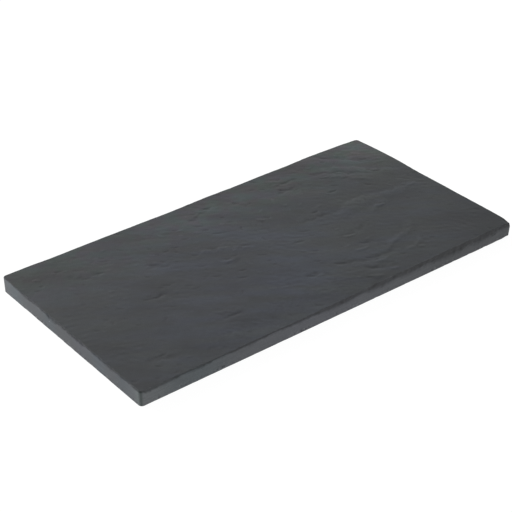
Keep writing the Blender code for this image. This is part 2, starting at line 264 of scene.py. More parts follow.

# Soft stains and painted light of the split face: painted sheen makes it lighter towards the back,
# the back right corner and a little in the middle; painted shade makes it darker at the front right
# corner and on the left; painted light along the middle of the front evens out the shading of the
# dip there; the rest are blue and warm tints. Each is x, y, reach, and the change in red, green and
# blue
SPLIT_STAINS_AND_LIGHT = (
    (0.156, 0.080, 0.100, 0.72, 0.67, 0.52),
    (0.080, 0.092, 0.110, 0.20, 0.18, 0.14),
    (-0.020, 0.095, 0.110, 0.36, 0.34, 0.30),
    (0.040, 0.000, 0.110, 0.17, 0.18, 0.15),
    (-0.150, -0.030, 0.090, -0.20, -0.19, -0.20),
    (0.155, -0.085, 0.075, -0.46, -0.44, -0.44),
    (-0.030, -0.010, 0.120, 0.04, 0.04, 0.19),
    (-0.100, -0.079, 0.090, 0.04, 0.05, 0.12),
    (-0.062, -0.084, 0.050, 0.16, 0.16, 0.16),
    (-0.010, -0.084, 0.050, 0.16, 0.16, 0.16),
    (-0.140, 0.068, 0.022, 0.04, 0.00, -0.08),
)

# Soft lighter and darker patches of the sawn sides, with a dark line at the front left corner and a
# pale strip beside it, listed the same way
SIDE_PATCHES = (
    (-0.146, -0.079, 0.030, 0.38, 0.40, 0.35),
    (-0.112, -0.079, 0.036, -0.08, 0.03, 0.04),
    (-0.020, -0.079, 0.090, -0.01, -0.02, 0.03),
    (0.110, -0.079, 0.100, -0.28, -0.28, -0.28),
    (0.149, -0.075, 0.014, -0.26, -0.26, -0.26),
    (-0.150, 0.062, 0.060, 0.26, 0.26, 0.26),
    (-0.150, 0.080, 0.030, 0.17, 0.17, 0.17),
    (-0.150, 0.063, 0.014, -0.05, 0.04, 0.06),
    (-0.150, 0.022, 0.014, -0.05, 0.02, 0.05),
    (-0.150, -0.015, 0.014, 0.00, -0.01, 0.06),
    (-0.150, -0.035, 0.014, -0.04, 0.05, 0.12),
    (-0.150, -0.062, 0.016, -0.07, -0.01, 0.03),
    (-0.150, -0.066, 0.022, -0.13, -0.13, -0.12),
    (-0.150, -0.0768, 0.0040, 0.12, 0.19, 0.14),
    (-0.1491, -0.0783, 0.0015, -0.58, -0.53, -0.55),
)

# Dark breaks at the rim of the split face, listed the same way
EDGE_STAINS = (
    (0.0290, -0.079, 0.0030, -0.50, -0.50, -0.50),
    (0.0550, -0.079, 0.0024, -0.30, -0.30, -0.30),
)

# The shallow dish that the ledges of the right half curve round
DISH_X, DISH_Y, DISH_REACH = 0.060, 0.009, 0.085
GRAIN_TURN = -35.0  # degrees, the way that scars run away from the dish

# Smooth parts of the split face: middle x and y, half length and half width
CALM_PARTS = ((-0.085, -0.045, 0.080, 0.050), (0.125, -0.035, 0.045, 0.045))

# Spalls of the top edge and nicks of the foot: middle along the side, half length, extra depth
FRONT_SPALLS = (
    (-0.136, 0.012, 0.0010),
    (-0.108, 0.010, 0.0008),
    (-0.074, 0.014, 0.0007),
    (-0.036, 0.011, 0.0009),
    (0.000, 0.022, 0.0030),
    (0.034, 0.018, 0.0036),
    (0.060, 0.018, 0.0036),
    (0.094, 0.024, 0.0053),
    (0.124, 0.017, 0.0047),
    (0.142, 0.010, 0.0026),
)
FRONT_NICKS = (
    (0.0300, 0.0020, 0.0009),
    (0.0560, 0.0016, 0.0007),
    (0.0900, 0.0018, 0.0010),
    (0.0980, 0.0016, 0.0008),
    (0.1120, 0.0020, 0.0011),
    (0.1265, 0.0018, 0.0013),
    (0.1380, 0.0040, 0.0009),
    (0.1460, 0.0030, 0.0010),
)
LEFT_NICKS = (
    (0.046, 0.006, 0.0005),
    (0.008, 0.003, 0.0003),
    (-0.028, 0.004, 0.0003),
)
LEFT_SPALLS = (
    (0.050, 0.008, 0.0006),
    (0.017, 0.009, 0.0014),
    (-0.012, 0.008, 0.0009),
    (-0.045, 0.009, 0.0008),
)
RIGHT_SPALLS = (
    (0.060, 0.014, 0.0008),
    (0.016, 0.008, 0.0012),
    (-0.030, 0.010, 0.0006),
    (-0.066, 0.010, 0.0010),
)
BACK_SPALLS = (
    (-0.112, 0.010, 0.0008),
    (-0.058, 0.012, 0.0010),
    (-0.021, 0.009, 0.0007),
    (0.032, 0.014, 0.0011),
    (0.084, 0.010, 0.0008),
    (0.128, 0.012, 0.0013),
)
SPALL_POWER = 0.7  # how full a spall's outline is: 1 is a parabola, and less is squarer

# Bites along the top edge and along the foot: seed, spacing and greatest depth
FRONT_BITES, FRONT_FOOT_BITES = (31, 0.0060, 0.0013), (35, 0.0100, 0.0005)
BACK_BITES, BACK_FOOT_BITES = (32, 0.0050, 0.0014), (36, 0.0080, 0.0005)
LEFT_BITES, LEFT_FOOT_BITES = (33, 0.0060, 0.0007), (37, 0.0120, 0.0002)
RIGHT_BITES, RIGHT_FOOT_BITES = (34, 0.0050, 0.0010), (38, 0.0080, 0.0005)
BITE_SHORTEST, BITE_LONGEST = 0.0010, 0.0034  # half lengths
BITE_LEAST = 0.2  # share of the greatest depth that the shallowest bite has
SPALLED_DEPTH, SPALLED_BITES = 0.0040, 0.10  # spalls this deep leave this share of the bites

# Left side's chipped edge at its back end: share of its size, and how far that is felt
THIN_SHARE, THIN_REACH = 0.35, 0.038

# Section of the chipped edge
HOLLOW = 2.0  # power of its curve: 1 bulges like a quarter circle, 2 is straight, 3 is hollow
SMOOTH_DEPTH, LEAST_ROUGH = 0.0030, 0.2  # past this depth it gets smoother, down to this share
FRESH_UNTIL = 0.4  # share of its depth that is broken fresh all over

# Upright corners in plan: 2 is round, and more is squarer
ROUND, BACK_LEFT_FULLNESS, KNOCKED_FULLNESS = 2.0, 2.3, 5.0
UNDERCUT = 0.0006  # how far in the foot of the knocked corner stands
UNDERCUT_REACH = 0.009  # how far from that corner this is felt

SIDE_RINGS = (0.12, 0.5, 0.88, 1.0)  # rings down the sawn sides, as shares of their height
EDGE_BLEND = 0.0008  # how smoothly the chipped edge runs from one side to the next, in metres
NICK_REACH = 0.2  # how far in a nick cuts the underside, as a share of its height
FRESH_NICK = 0.0003  # a nick this high shows the broken stone
CREASE = math.radians(40)  # faces that meet at more than this have a sharp edge between them

# Colours of the split face: where along y the tints start and are full, and the tints' factors
TINTS_START, TINTS_FULL = 0.022, 0.064
PURPLE, GREEN = (1.16, 1.01, 1.07), (1.02, 1.25, 1.10)
WARM, COOL = (1.02, 1.01, 0.94), (0.98, 0.99, 1.07)

# Band of specks along the foot of the sawn sides: full below the first height, gone at the second
SPECKS_FULL, SPECKS_END = 0.0014, 0.0042

# Finishes, by their place among the stone's materials
SPLIT, CHIPPED, SAWN = range(3)


class SlateShape(bpy.types.PropertyGroup):
    """Sizes of the stone's faces and edges."""

    cell: FloatProperty(
        name="Facet Spacing",
        description="Spacing of the points on the split face",
        default=0.0008, min=0.0006, max=0.004, unit="LENGTH", precision=5,
    )
    corner_radius: FloatProperty(
        name="Corner Radius",
        description="Radius of the upright corners",
        default=0.0026, min=0.001, max=0.01, unit="LENGTH", precision=5,
    )
    corner_steps: IntProperty(
        name="Corner Steps",
        description="Points across each rounded corner, on either side of its middle",
        default=5, min=2, max=12,
    )
    knock_short: FloatProperty(
        name="Knocked Corner, Short Side",
        description="How far the knocked corner runs along the short side",
        default=0.0082, min=0.0, max=0.02, unit="LENGTH", precision=5,
    )
    knock_long: FloatProperty(
        name="Knocked Corner, Long Side",
        description="How far the knocked corner runs along the front long side",
        default=0.0006, min=0.0001, max=0.01, unit="LENGTH", precision=5,
    )
    edge_in: FloatProperty(
        name="Edge Reach",
        description="How far the chipped edge reaches in from the right short side and the back",
        default=0.00022, min=0.0001, max=0.002, unit="LENGTH", precision=5,
    )
    edge_down: FloatProperty(
        name="Edge Depth",
        description="How far the chipped edge reaches down the right short side and the back",
        default=0.0006, min=0.0002, max=0.004, unit="LENGTH", precision=5,
    )
    left_edge_in: FloatProperty(
        name="Left Edge Reach",
        description="How far the chipped edge reaches in from the left short side",
        default=0.00060, min=0.0001, max=0.002, unit="LENGTH", precision=5,
    )
    left_edge_down: FloatProperty(
        name="Left Edge Depth",
        description="How far the chipped edge reaches down the left short side",
        default=0.0008, min=0.0002, max=0.004, unit="LENGTH", precision=5,
    )
    front_edge_in: FloatProperty(
        name="Front Edge Reach",
        description="How far the chipped edge reaches in from the front long side",
        default=0.00030, min=0.0001, max=0.002, unit="LENGTH", precision=5,
    )
    front_edge_down: FloatProperty(
        name="Front Edge Depth",
        description="How far the chipped edge reaches down the front long side",
        default=0.0012, min=0.0002, max=0.004, unit="LENGTH", precision=5,
    )
    edge_spread: FloatProperty(
        name="Edge Spread",
        description="Extra reach over the split face for each unit of extra depth",
        default=0.12, min=0.0, max=0.3,
    )
    edge_rings: IntProperty(
        name="Edge Rings",
        description="Rings of faces across the chipped edge",
        default=8, min=2, max=12,
    )
    lower_edge: FloatProperty(
        name="Lower Edge",
        description="Size of the narrow face round the underside",
        default=0.00018, min=0.0001, max=0.001, unit="LENGTH", precision=5,
    )
    relief: FloatProperty(
        name="Relief",
        description="Strength of the terraces and ledges",
        default=1.0, min=0.0, max=2.0,
    )
    terrace: FloatProperty(
        name="Terrace Height",
        description="Height of one cleavage step",
        default=0.00011, min=0.00002, max=0.0005, unit="LENGTH", precision=6,
    )
    small_scars: IntProperty(
        name="Small Scars",
        description="Number of small flake scars strewn over the split face",
        default=330, min=0, max=1000,
    )


class SlateFinish(bpy.types.PropertyGroup):
    """Colours and roughness of the stone's three finishes."""

    split_colour: FloatVectorProperty(
        name="Split Face",
        description="Colour of the split face",
        default=(0.0290, 0.0332, 0.0381), min=0.0, max=1.0, subtype="COLOR",
    )
    chipped_colour: FloatVectorProperty(
        name="Chipped Edge",
        description="Colour of the freshly broken edge",
        default=(0.0425, 0.0453, 0.0508), min=0.0, max=1.0, subtype="COLOR",
    )
    sawn_colour: FloatVectorProperty(
        name="Sawn Sides",
        description="Colour of the sawn sides and underside",
        default=(0.094, 0.1005, 0.1095), min=0.0, max=1.0, subtype="COLOR",
    )
    split_roughness: FloatProperty(
        name="Split Roughness",
        description="Roughness of the split face",
        default=0.58, min=0.0, max=1.0,
    )
    sawn_roughness: FloatProperty(
        name="Sawn Roughness",
        description="Roughness of the sawn sides",
        default=0.65, min=0.0, max=1.0,
    )


class SlateStage(bpy.types.PropertyGroup):
    """Floor, light and camera."""

    floor_size: FloatProperty(
        name="Floor Size",
        description="Length of the floor's sides",
        default=24.0, min=1.0, max=100.0, unit="LENGTH",
    )
    floor_colour: FloatVectorProperty(
        name="Floor",
        description="Colour of the floor",
        default=(0.10, 0.10, 0.10), min=0.0, max=1.0, subtype="COLOR",
    )
    floor_glow: FloatProperty(
        name="Floor Glow",
        description="Light that the floor gives off, as if it were lit from below",
        default=0.965, min=0.0, max=2.0,
    )
    sky_way: FloatVectorProperty(
        name="Bright Side",
        description="The side of the surroundings that is brightest",
        default=(0.906, 0.423, 0.0), subtype="DIRECTION",
    )
    sky_colour: FloatVectorProperty(
        name="Surroundings",
        description="Colour of the light from all round",
        default=(0.985, 0.992, 1.0), min=0.0, max=1.0, subtype="COLOR",
    )
    sky_back: FloatProperty(
        name="Bright Surroundings",
        description="Brightness of the surroundings on their bright side",
        default=1.10, min=0.0, max=5.0,
    )
    sky_front: FloatProperty(
        name="Dim Surroundings",
        description="Brightness of the surroundings opposite their bright side",
        default=0.25, min=0.0, max=5.0,
    )
    key_power: FloatProperty(
        name="Key Light",
        description="Power of the large soft light behind the stone, on the left",
        default=175.0, min=0.0, max=2000.0, unit="POWER",
    )
    key_length: FloatProperty(
        name="Key Length",
        description="Length of the large soft light",
        default=3.0, min=0.1, max=20.0, unit="LENGTH",
    )
    key_width: FloatProperty(
        name="Key Width",
        description="Width of the large soft light",
        default=2.0, min=0.1, max=20.0, unit="LENGTH",
    )
    key_place: FloatVectorProperty(
        name="Key Place",
        description="Where the large soft light stands",
        default=(-1.0, 3.85, 2.1), subtype="TRANSLATION", unit="LENGTH",
    )
    lens: FloatProperty(
        name="Lens",
        description="Focal length of the camera, in millimetres on a 36 mm sensor",
        default=105.98, min=10.0, max=500.0,
    )
    camera_place: FloatVectorProperty(
        name="Camera Place",
        description="Where the camera stands",
        default=(-0.5094, -0.6704, 0.5300), subtype="TRANSLATION", unit="LENGTH", precision=4,
    )
    camera_down: FloatProperty(
        name="Camera Down",
        description="How far the camera looks down",
        default=math.radians(31.941), subtype="ANGLE",
    )
    camera_round: FloatProperty(
        name="Camera Round",
        description="How far the camera is turned from straight along +Y towards +X",
        default=math.radians(36.931), subtype="ANGLE",
    )
    camera_roll: FloatProperty(
        name="Camera Roll",
        description="How far the camera is rolled",
        default=math.radians(-1.356), subtype="ANGLE",
    )


def ease(share):
    """0 to 1 along a smooth step."""
    share = np.clip(share, 0.0, 1.0)
    return share * share * (3.0 - 2.0 * share)


def plane_wave(x, y, direction, wave, offset):
    """Height of one straight wave of this length, from -1 to 1."""
    phase = 2.0 * math.pi * (x * math.cos(direction) + y * math.sin(direction)) / wave
    return np.cos(phase + offset)


def waves(x, y, seed, count, shortest, longest, height):
    """Undulation: straight waves with seeded directions, lengths and offsets."""
    draw = np.random.default_rng(seed)
    total = np.zeros(x.shape)
    for _ in range(count):
        direction, offset = draw.uniform(0.0, 2.0 * math.pi, 2)
        wave = draw.uniform(shortest, longest)
        total += height * (wave / longest) ** 0.5 * plane_wave(x, y, direction, wave, offset)
    return total


def swell(x, y, place):
    """Height of one broad rise, which dies out at the rim of its ellipse."""
    middle_x, middle_y, half_length, half_width, turn, rise = place
    cos, sin = math.cos(math.radians(turn)), math.sin(math.radians(turn))
    along = ((x - middle_x) * cos + (y - middle_y) * sin) / half_length
    across = ((y - middle_y) * cos - (x - middle_x) * sin) / half_width
    return rise * np.clip(1.0 - along**2 - across**2, 0.0, None) ** 2


def ledge(x, y, line, crest, right, left):
    """Height of one ledge, by the distance from its line and by how far along the line it is."""
    line = np.array(line)
    runs = np.hypot(*np.diff(line, axis=0).T)
    starts = np.concatenate([[0.0], np.cumsum(runs)])
    nearest = np.full(x.shape, np.inf)
    side = np.zeros(x.shape)
    share = np.zeros(x.shape)
    for start, end, run, before in zip(line[:-1], line[1:], runs, starts):
        step_x, step_y = (end - start) / run
        reach = np.clip((x - start[0]) * step_x + (y - start[1]) * step_y, 0.0, run)
        off_x = x - start[0] - reach * step_x
        off_y = y - start[1] - reach * step_y
        distance = np.hypot(off_x, off_y)
        nearer = distance < nearest
        nearest = np.where(nearer, distance, nearest)
        side = np.where(nearer, step_x * off_y - step_y * off_x, side)
        share = np.where(nearer, (before + reach) / starts[-1], share)
    ends = ease(share / LEDGE_TAPER) * ease((1.0 - share) / LEDGE_TAPER)
    return crest * ends * (1.0 - ease(nearest / np.where(side > 0.0, left, right)))


def scar(height, x, y, place):
    """Sinks one oval flake scar with sloping sides, or raises a flake by a negative depth."""
    middle_x, middle_y, length, width, turn, depth = place
    near = np.nonzero(np.hypot(x - middle_x, y - middle_y) < length / 2 + width)[0]
    cos, sin = math.cos(math.radians(turn)), math.sin(math.radians(turn))
    off_x, off_y = x[near] - middle_x, y[near] - middle_y
    along = (off_x * cos + off_y * sin) / (length / 2)
    narrowing = np.sqrt(np.clip(1.0 - along**2, 0.0, None))
    across = (off_x * sin - off_y * cos) / width + 0.5
    step = ease(across / SCAR_STEP)
    ramp = ease((narrowing - across) / SCAR_RAMP)
    height[near] -= depth * step * ramp * np.sqrt(narrowing)


def grain_turn(x, y):
    """The way that small scars run: slanting on the left, round the dish on the right."""
    off_x, off_y = x - DISH_X, y - DISH_Y
    share = float(ease((DISH_REACH - math.hypot(off_x, off_y)) / (DISH_REACH / 2)))
    slant = math.radians(GRAIN_TURN)
    curve = math.atan2(off_x, -off_y)
    if math.cos(curve - slant) < 0.0:
        curve += math.pi
    blended_x = (1.0 - share) * math.cos(slant) + share * math.cos(curve)
    blended_y = (1.0 - share) * math.sin(slant) + share * math.sin(curve)
    return math.degrees(math.atan2(blended_y, blended_x))


def calm(x, y):
    """From 1 in the middle of the smooth parts of the split face to 0 outside them."""
    inside = [
        1.0 - ((x - middle_x) / half_length) ** 2 - ((y - middle_y) / half_width) ** 2
        for middle_x, middle_y, half_length, half_width in CALM_PARTS
    ]
    return np.clip(np.max(inside, axis=0), 0.0, 1.0)


def strewn_scars(count):
    """Seeded small flake scars that follow the grain."""
    draw = np.random.default_rng(STREWN_SEED)
    for _ in range(count):
        x = draw.uniform(-HALF_LENGTH, HALF_LENGTH)
        y = draw.uniform(-HALF_WIDTH, HALF_WIDTH)
        length = draw.uniform(*STREWN_LENGTHS)
        width = draw.uniform(*STREWN_WIDTHS)
        turn = grain_turn(x, y) + draw.normal(0.0, STREWN_TURN)
        depth = STREWN_LEAST + STREWN_EXTRA * draw.random() ** 2
        depth *= 1.0 - STREWN_CALM * calm(x, y)
        yield x, y, length, width, turn, depth * draw.choice(STREWN_WAYS)


def ripples(x, y):
    """Short ripples across the grain, in patches."""
    draw = np.random.default_rng(RIPPLE_SEED)
    total = np.zeros(x.shape)
    for _ in range(RIPPLE_COUNT):
        direction = math.radians(GRAIN_TURN + 90.0 + draw.normal(0.0, RIPPLE_TURN))
        wave, offset = draw.uniform(*RIPPLE_WAVES), draw.uniform(0.0, 2.0 * math.pi)
        height = RIPPLE_HEIGHT * (wave / RIPPLE_WAVES[1])
        total += height * plane_wave(x, y, direction, wave, offset)
    strength = RIPPLE_USUAL + waves(x, y, *PATCH_WAVES) - RIPPLE_USUAL * calm(x, y)
    return total * np.clip(strength, 0.0, STRONGEST)


def warped(start, x, y, layers):
    """A coordinate shifted by layers of undulation, so that straight lines wander."""
    for layer in layers:
        start = start + waves(x, y, *layer)
    return start


def terraces(ground, level, step):
    """Ground that partly keeps to cleavage steps of this height, by its level in steps."""
    floor = np.floor(level)
    stepped = (floor + ease((level - floor - (1.0 - TERRACE_RISER)) / TERRACE_RISER)) * step
    return (1.0 - TERRACE_SHARE) * ground + TERRACE_SHARE * stepped


def split_height(shape, x, y):
    """Height of the split face, no higher than the slab's thickness."""
    warped_x, warped_y = warped(x, x, y, WARPS_X), warped(y, x, y, WARPS_Y)
    ground = waves(x, y, *BROAD_WAVES)
    for place in SWELLS:
        ground += swell(warped_x, warped_y, place)
    level = ground / shape.terrace + waves(x, y, *TERRACE_WAVES)
    ground = terraces(ground, level, shape.terrace)
    ragged = np.clip(RAGGED_USUAL + waves(x, y, *RAGGED_WAVES), 0.0, STRONGEST)
    for crest, right, left, line in LEDGES:
        uneven = 1.0 + (ragged - 1.0) * min(1.0, RAGGED_REACH / max(right, left)) ** 3
        ground += uneven * ledge(warped_x, warped_y, line, crest, right, left)
    for middle_x, middle_y, length, width, turn, depth in SCARS:
        width, depth = SCAR_WIDER * width, SCAR_DEEPER * depth
        scar(ground, x, y, (middle_x, middle_y, length, width, turn, depth))
    for place in strewn_scars(shape.small_scars):
        scar(ground, x, y, place)
    ground += ripples(x, y) + waves(x, y, *FINE_WAVES)
    return np.minimum(THICKNESS - SPLIT_BELOW_TOP + shape.relief * ground, THICKNESS)


def bulge(along, middle, half):
    """A parabola along one side: 1 at the middle of a stretch, and 0 at its ends and past them."""
    return np.clip(1.0 - ((along - middle) / half) ** 2, 0.0, None)


def bites(along, seed, spacing, deepest):
    """Depth of seeded small bites along one side, each a shallow arc."""
    draw = np.random.default_rng(seed)
    depth = np.zeros(along.shape)
    for _ in range(round(2.0 * HALF_LENGTH / spacing)):
        middle = draw.uniform(-HALF_LENGTH, HALF_LENGTH)
        half = draw.uniform(BITE_SHORTEST, BITE_LONGEST)
        deep = deepest * draw.uniform(BITE_LEAST, 1.0) * (half / BITE_LONGEST) ** 0.5
        depth = np.maximum(depth, deep * np.sqrt(bulge(along, middle, half)))
    return depth


def spall_depth(along, spalls):
    """Extra depth of the chipped edge at a place along one side."""
    depth = np.zeros(along.shape)
    for middle, half, extra in spalls:
        depth = np.maximum(depth, extra * bulge(along, middle, half) ** SPALL_POWER)
    return depth


def blend_sides(x, y, front, back, left, right):
    """One value out of four that belong to the sides, running smoothly from side to side."""
    gaps = np.array([HALF_WIDTH + y, HALF_WIDTH - y, HALF_LENGTH + x, HALF_LENGTH - x])
    nearness = (np.abs(gaps) + EDGE_BLEND) ** -3.0
    return (nearness * np.array([front, back, left, right])).sum(axis=0) / nearness.sum(axis=0)


def chipped_edge(shape, x, y):
    """How far down the sides, and how far in over the split face, the chipped edge reaches."""
    front = spall_depth(x, FRONT_SPALLS)
    bitten = np.clip(1.0 - front / SPALLED_DEPTH, SPALLED_BITES, 1.0)
    front = front + bites(x, *FRONT_BITES) * bitten
    back = spall_depth(x, BACK_SPALLS) + bites(x, *BACK_BITES)
    left = spall_depth(y, LEFT_SPALLS) + bites(y, *LEFT_BITES)
    right = spall_depth(y, RIGHT_SPALLS) + bites(y, *RIGHT_BITES)
    widening = shape.edge_spread
    thinning = THIN_SHARE + (1.0 - THIN_SHARE) * ease((HALF_WIDTH - y) / THIN_REACH)
    down = blend_sides(
        x, y,
        shape.front_edge_down + front, shape.edge_down + back,
        thinning * (shape.left_edge_down + left), shape.edge_down + right,
    )
    reach = blend_sides(
        x, y,
        shape.front_edge_in + widening * front, shape.edge_in + widening * back,
        thinning * (shape.left_edge_in + widening * left), shape.edge_in + widening * right,
    )
    return down, reach


def nicks(x, y):
    """How much higher the bottom edge starts where it is nicked."""
    front = spall_depth(x, FRONT_NICKS) + bites(x, *FRONT_FOOT_BITES)
    left = spall_depth(y, LEFT_NICKS) + bites(y, *LEFT_FOOT_BITES)
    back, right = bites(x, *BACK_FOOT_BITES), bites(y, *RIGHT_FOOT_BITES)
    return blend_sides(x, y, front, back, left, right)


def undercut(x, y):
    """How far in the foot of the knocked corner stands."""
    away = np.hypot(x - HALF_LENGTH, y + HALF_WIDTH)
    return UNDERCUT * ease(1.0 - away / UNDERCUT_REACH)


def outward(shape, x, y):
    """Unit direction in plan from the core that the round corners leave, and the distance to it."""
    core_x, core_y = HALF_LENGTH - shape.corner_radius, HALF_WIDTH - shape.corner_radius
    off_x = x - np.clip(x, -core_x, core_x)
    off_y = y - np.clip(y, -core_y, core_y)
    reach = np.hypot(off_x, off_y)
    safe = np.where(reach > 0.0, reach, 1.0)
    return off_x / safe, off_y / safe, reach


def wall_reach(shape, x, y):
    """Distance from that core to the side, by each corner's fullness and where one is knocked."""
    away_x, away_y, reach = outward(shape, x, y)
    squarer = np.where(x > 0.0, KNOCKED_FULLNESS, BACK_LEFT_FULLNESS)
    fullness = np.where(x * y < 0.0, squarer, ROUND)
    size = np.abs(away_x) ** fullness + np.abs(away_y) ** fullness
    corner = shape.corner_radius * np.where(reach > 0.0, size, 1.0) ** (-1.0 / fullness)
    edge = math.hypot(shape.knock_short, shape.knock_long)
    face_x, face_y = shape.knock_short / edge, -shape.knock_long / edge
    start_x, start_y = x - away_x * reach, y - away_y * reach
    gap = (HALF_LENGTH - start_x) * face_x + (shape.knock_short - HALF_WIDTH - start_y) * face_y
    facing = away_x * face_x + away_y * face_y
    limit = np.where(facing > 0.0, gap / np.where(facing > 0.0, facing, 1.0), np.inf)
    return np.minimum(corner, limit)


def stations(shape, half):
    """Places of the grid's lines along one axis: even over the middle, closer at the corners."""
    core = half - shape.corner_radius
    rim = shape.corner_radius - shape.edge_in
    middle = np.linspace(-core, core, round(2.0 * core / shape.cell) + 1)
    end = core + rim * np.arange(1, shape.corner_steps + 1) / shape.corner_steps
    return np.concatenate([-end[::-1], middle, end])


def plan(verts):
    """The x and y of some points, as arrays."""
    return np.array([vert.co.xy for vert in verts]).T


def put(verts, x, y, z):
    """Moves some points to these places."""
    for vert, place in zip(verts, zip(x, y, z)):
        vert.co = place


def store(verts, layer, values):
    """Stores a value on each of some points."""
    for vert, value in zip(verts, values):
        vert[layer] = value


def stain_and_painted_light(bm, verts, colour_patches):
    """Stores on some points how much each stain, and each patch of painted light and shade, near
    them changes their colour.
    """
    x, y = plan(verts)
    factors = np.ones((len(verts), 4))
    for middle_x, middle_y, reach, *change in colour_patches:
        share = ease(1.0 - np.hypot(x - middle_x, y - middle_y) / reach)
        factors[:, :3] *= 1.0 + share[:, None] * np.array(change)
    store(verts, bm.verts.layers.float_color["stain_and_painted_light"], factors)


def split_face(bm, shape):
    """The split face, as a grid with round corners that ends where the chipped edge starts."""
    lines_x, lines_y = stations(shape, HALF_LENGTH), stations(shape, HALF_WIDTH)
    cells_x, cells_y = len(lines_x) - 1, len(lines_y) - 1
    bmesh.ops.create_grid(bm, x_segments=cells_x, y_segments=cells_y, size=1.0)
    worn_and_shaded = bm.verts.layers.float.new("worn_and_shaded")
    bm.verts.layers.float.new("fresh")
    bm.verts.layers.float_color.new("stain_and_painted_light")
    verts = bm.verts[:]
    x, y = plan(verts)
    column = np.rint((x + 1.0) / 2.0 * cells_x).astype(int)
    row = np.rint((y + 1.0) / 2.0 * cells_y).astype(int)
    x, y = lines_x[column], lines_y[row]
    away_x, away_y, reach = outward(shape, x, y)
    square_reach = np.maximum(np.abs(away_x), np.abs(away_y)) * reach
    rim = wall_reach(shape, x, y) - chipped_edge(shape, x, y)[1]
    move = square_reach * rim / (shape.corner_radius - shape.edge_in) - reach
    x, y = x + away_x * move, y + away_y * move
    z = split_height(shape, x, y)
    put(verts, x, y, z)
    ground = np.empty((cells_y + 1, cells_x + 1))
    ground[row, column] = z
    # how far each point stands above or below the ground near it, for painted light on the crests
    # and painted shade in the hollows
    standing = sum(weight * crests(ground, rounds, height) for rounds, height, weight in WEAR_AND_SHADE)
    store(verts, worn_and_shaded, standing[row, column])
    # stains, with painted sheen lighter towards the back and painted shade darker at the front
    # right corner
    stain_and_painted_light(bm, verts, SPLIT_STAINS_AND_LIGHT + EDGE_STAINS)


def crests(ground, rounds, height):
    """How far each point of a grid stands above the ground near it, from -1 in a hollow to 1."""
    near = ground
    for _ in range(rounds):
        wider = np.pad(near, 1, mode="edge")
        near = (wider[1:-1, :-2] + wider[1:-1, 2:] + wider[:-2, 1:-1] + wider[2:, 1:-1]) / 4.0
    return np.clip((ground - near) / height, -1.0, 1.0)


def next_ring(bm, finish):
    """Carries the open rim out by one ring of faces, and returns the new ring's points."""
    rim = [edge for edge in bm.edges if edge.is_boundary]
    made = bmesh.ops.extrude_edge_only(bm, edges=rim)["geom"]
    for face in made:
        if isinstance(face, bmesh.types.BMFace):
            face.material_index = finish
    return [vert for vert in made if isinstance(vert, bmesh.types.BMVert)]


def place_ring(shape, ring, inset, z):
    """Sets a ring of points by their distance in from the sides, and their height."""
    x, y = plan(ring)
    away_x, away_y, reach = outward(shape, x, y)
    move = wall_reach(shape, x, y) - inset - reach
    put(ring, x + away_x * move, y + away_y * move, z)


def broken_edge(bm, shape):
    """The chipped edge: rings down a ragged section, from the split face to the sides."""
    fresh = bm.verts.layers.float["fresh"]
    turns = np.linspace(0.0, math.pi / 2, shape.edge_rings + 1)
    for number, (before, now) in enumerate(zip(turns[:-1], turns[1:])):
        ring = next_ring(bm, CHIPPED)
        x, y = plan(ring)
        depth, reach = chipped_edge(shape, x, y)
        hollow = HOLLOW + waves(x, y, *HOLLOW_WAVES)
        rough = waves(x, y, ROUGH_SEED + number // 2, *ROUGH_WAVES) * math.sin(2.0 * now)
        rough = rough * np.clip(SMOOTH_DEPTH / depth, LEAST_ROUGH, 1.0)
        inset = reach * np.clip(math.cos(now) ** hollow + rough, 0.0, 1.0)
        down = depth * (math.sin(now) ** hollow - math.sin(before) ** hollow)
        place_ring(shape, ring, inset, np.array([vert.co.z for vert in ring]) - down)
        fading = ease((math.sin(now) ** hollow - FRESH_UNTIL) / (1.0 - FRESH_UNTIL))
        store(ring, fresh, 1.0 - fading)
        stain_and_painted_light(bm, ring, SIDE_PATCHES + EDGE_STAINS if now < math.pi / 4 else SIDE_PATCHES)


def show_nicks(bm, ring):
    """Gives a ring of points the look of broken stone where the foot is nicked."""
    broken = np.clip(nicks(*plan(ring)) / FRESH_NICK, 0.0, 1.0)
    store(ring, bm.verts.layers.float["fresh"], broken)


def sawn_sides(bm, shape):
    """The sides, the narrow nicked face round the underside, and the underside."""
    above = 0.0
    for share in SIDE_RINGS:
        ring = next_ring(bm, SAWN)
        x, y = plan(ring)
        z = np.array([vert.co.z for vert in ring])
        z += (shape.lower_edge + nicks(x, y) - z) * (share - above) / (1.0 - above)
        place_ring(shape, ring, share * undercut(x, y), z)
        stain_and_painted_light(bm, ring, SIDE_PATCHES)
        above = share
    foot = next_ring(bm, CHIPPED)
    show_nicks(bm, ring)
    show_nicks(bm, foot)
    x, y = plan(foot)
    inset = shape.lower_edge + NICK_REACH * nicks(x, y) + undercut(x, y)
    place_ring(shape, foot, inset, np.zeros(x.shape))
    rim = [edge for edge in bm.edges if edge.is_boundary]
    bmesh.ops.edgeloop_fill(bm, edges=rim, mat_nr=SAWN, use_smooth=True)


def feed(tree, socket, value):
    """Gives a socket its value, or links it to the socket that feeds it."""
    if isinstance(value, bpy.types.NodeSocket):
        tree.links.new(value, socket)
    else:
        socket.default_value = value


def add(tree, kind, settings=None, **inputs):
    """Adds a node with its settings and inputs."""
    made = tree.nodes.new(kind)
    for name, value in (settings or {}).items():
        setattr(made, name, value)
    for name, value in inputs.items():
        feed(tree, made.inputs[name.replace("_", " ")], value)
    return made


